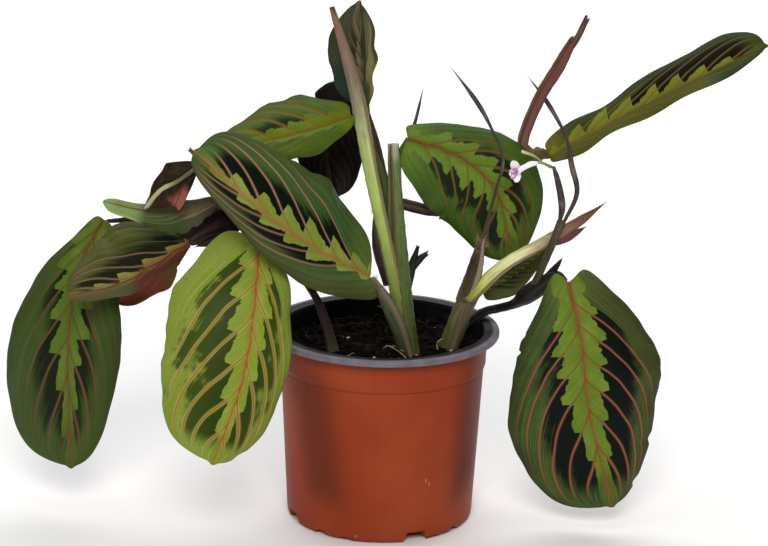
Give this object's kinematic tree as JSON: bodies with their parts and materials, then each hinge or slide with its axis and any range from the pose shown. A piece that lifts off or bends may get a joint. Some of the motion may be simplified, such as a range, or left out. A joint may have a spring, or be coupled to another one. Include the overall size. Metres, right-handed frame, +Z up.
{
  "type": "potted prayer plant",
  "caption": "Arching prayer plant with patterned oval leaves and a small flower, growing from soil in a thin flanged nursery pot.",
  "frame": {"origin": "centre of the pot's flat underside, on the surface it stands on", "axes": "+Z up along the pot's axis, -Y towards the front, +X to the right"},
  "size_m": [0.3823, 0.1337, 0.2654],
  "materials": {
    "pot_plastic": "satin",
    "peat": "matte",
    "stem_green": "satin",
    "stem_olive": "satin",
    "stem_dark": "satin",
    "leaf_green": "satin",
    "leaf_pale": "satin",
    "leaf_maroon": "satin",
    "leaf_grey": "satin",
    "petal_white": "matte"
  },
  "bodies": {
    "root": {"pot": "pot_plastic", "soil": "peat", "shoot_centre": "stem_green", "shoot_right": "stem_olive", "shoot_left": "stem_dark", "leaf_right_low": "leaf_green", "leaf_left_pale": "leaf_pale", "leaf_far_left": "leaf_green", "leaf_centre_left": "leaf_green", "leaf_up_left": "leaf_green", "leaf_back_dark": "leaf_maroon", "leaf_top": "leaf_grey", "leaf_mid_right": "leaf_green", "leaf_far_right": "leaf_green", "leaf_left_striped": "leaf_green", "leaf_left_under": "leaf_maroon", "leaf_left_small": "leaf_grey", "leaf_left_curled": "leaf_maroon", "leaf_right_inner": "leaf_green", "flower": "petal_white"}
  },
  "joints": []
}
